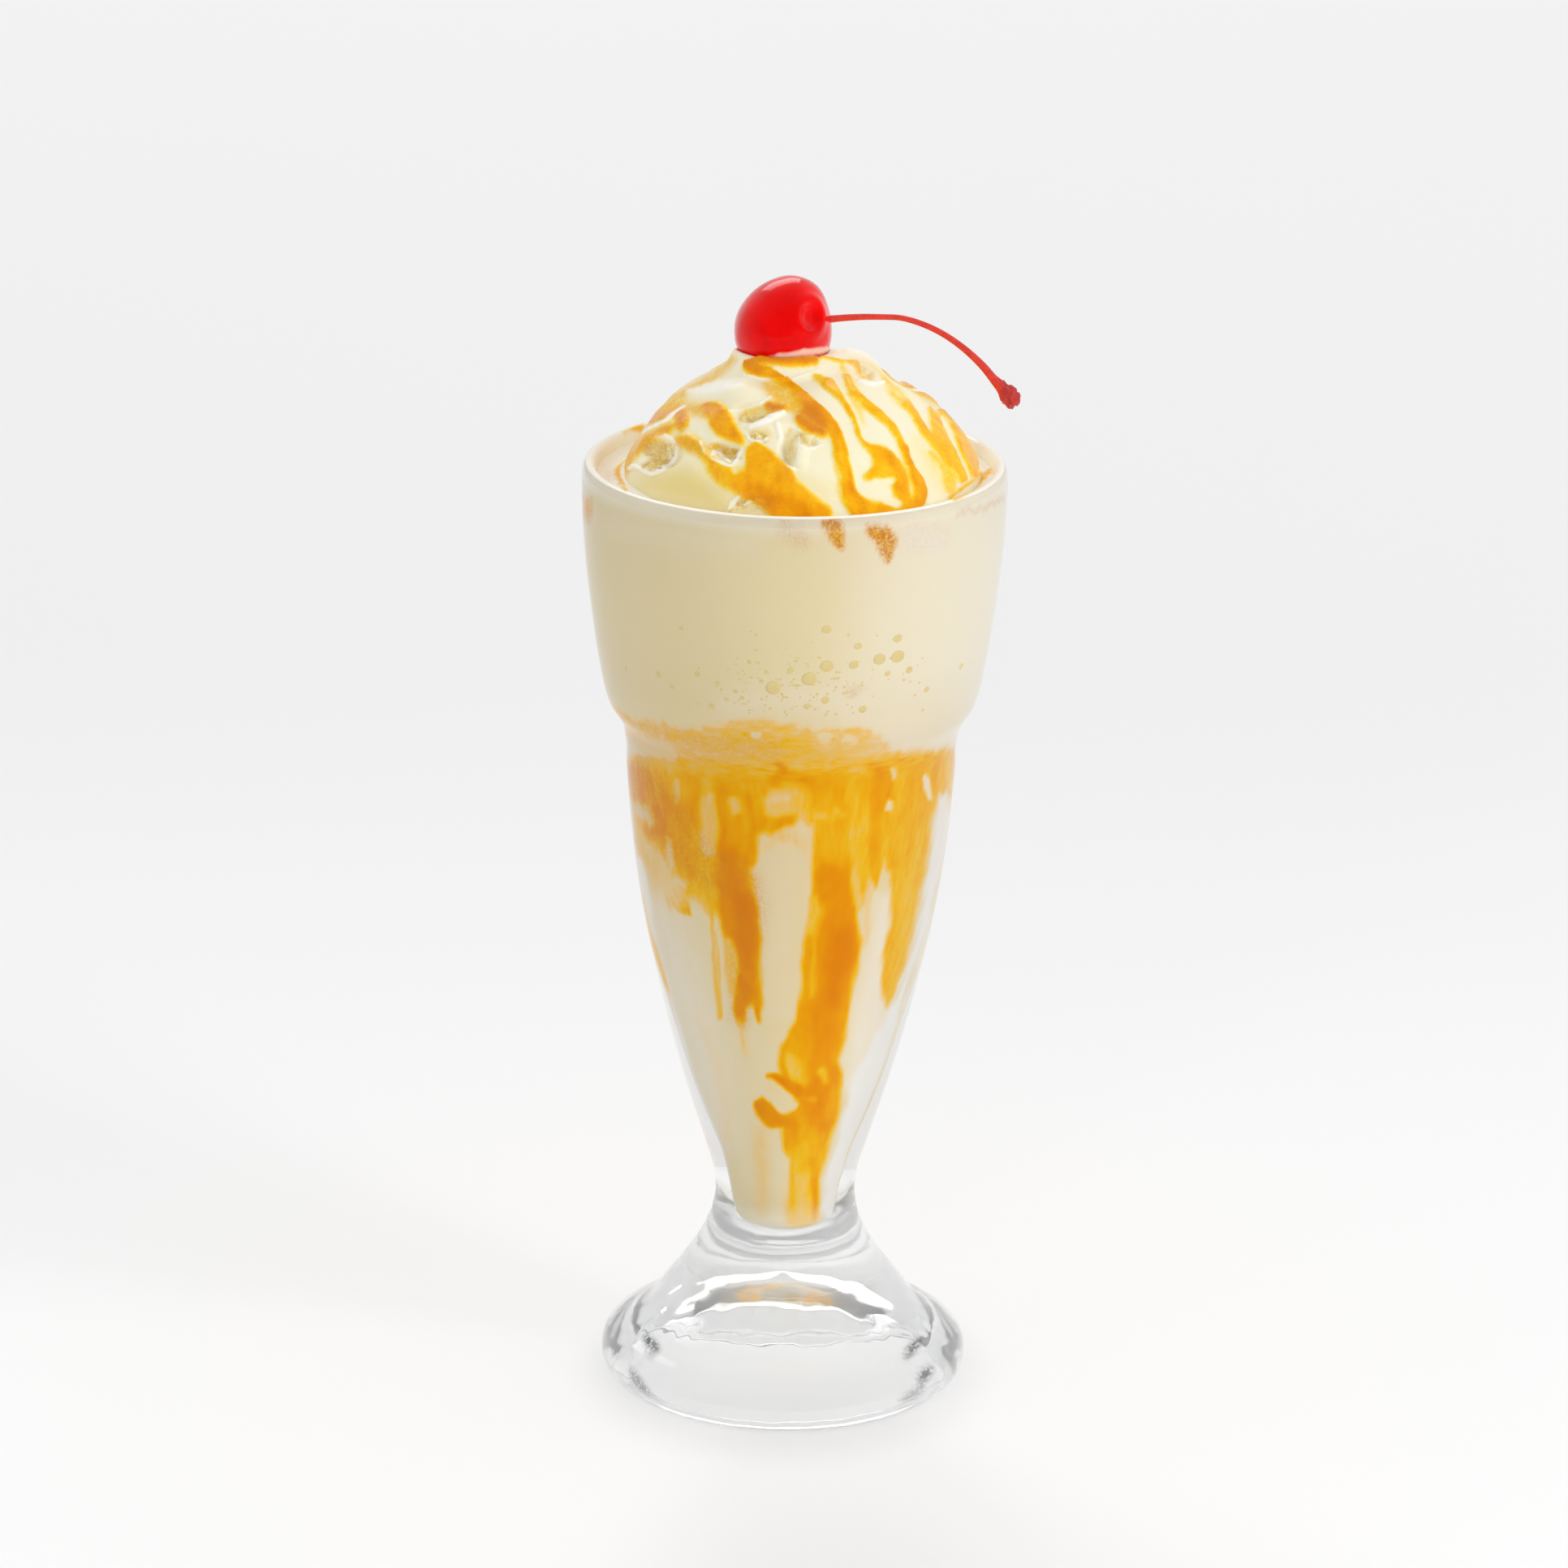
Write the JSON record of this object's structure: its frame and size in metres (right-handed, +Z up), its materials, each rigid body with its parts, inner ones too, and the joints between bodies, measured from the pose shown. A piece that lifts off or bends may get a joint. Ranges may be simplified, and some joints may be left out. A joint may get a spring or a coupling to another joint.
{
  "type": "vanilla milkshake",
  "caption": "Vanilla milkshake in a footed soda glass, streaked with caramel and topped with a scoop of ice cream and a cherry on its stem.",
  "frame": {"origin": "middle of the foot's underside, on the surface that the glass stands on", "axes": "+Z up along the glass's axis, +X to the right and +Y away from the viewer as in the picture, so that the stem reaches towards +X"},
  "size_m": [0.091, 0.089, 0.2427],
  "materials": {
    "clear_glass": "clear pressed glass, fire polished, thick at the neck and foot",
    "milkshake": "thick cream-coloured shake behind the glass, with caramel streaks below the collar and a few bubbles",
    "ice_cream": "smooth melting vanilla ice cream with torn icy pits, wet caramel drizzled over it",
    "cherry_skin": "wet bright red candied cherry skin, high gloss",
    "cherry_stem": "dyed red stem, satin, darker at its torn end"
  },
  "bodies": {
    "root": {"glass": "clear_glass", "milkshake": "milkshake", "ice_cream": "ice_cream", "cherry": "cherry_skin", "cherry_stem": "cherry_stem"}
  },
  "joints": []
}
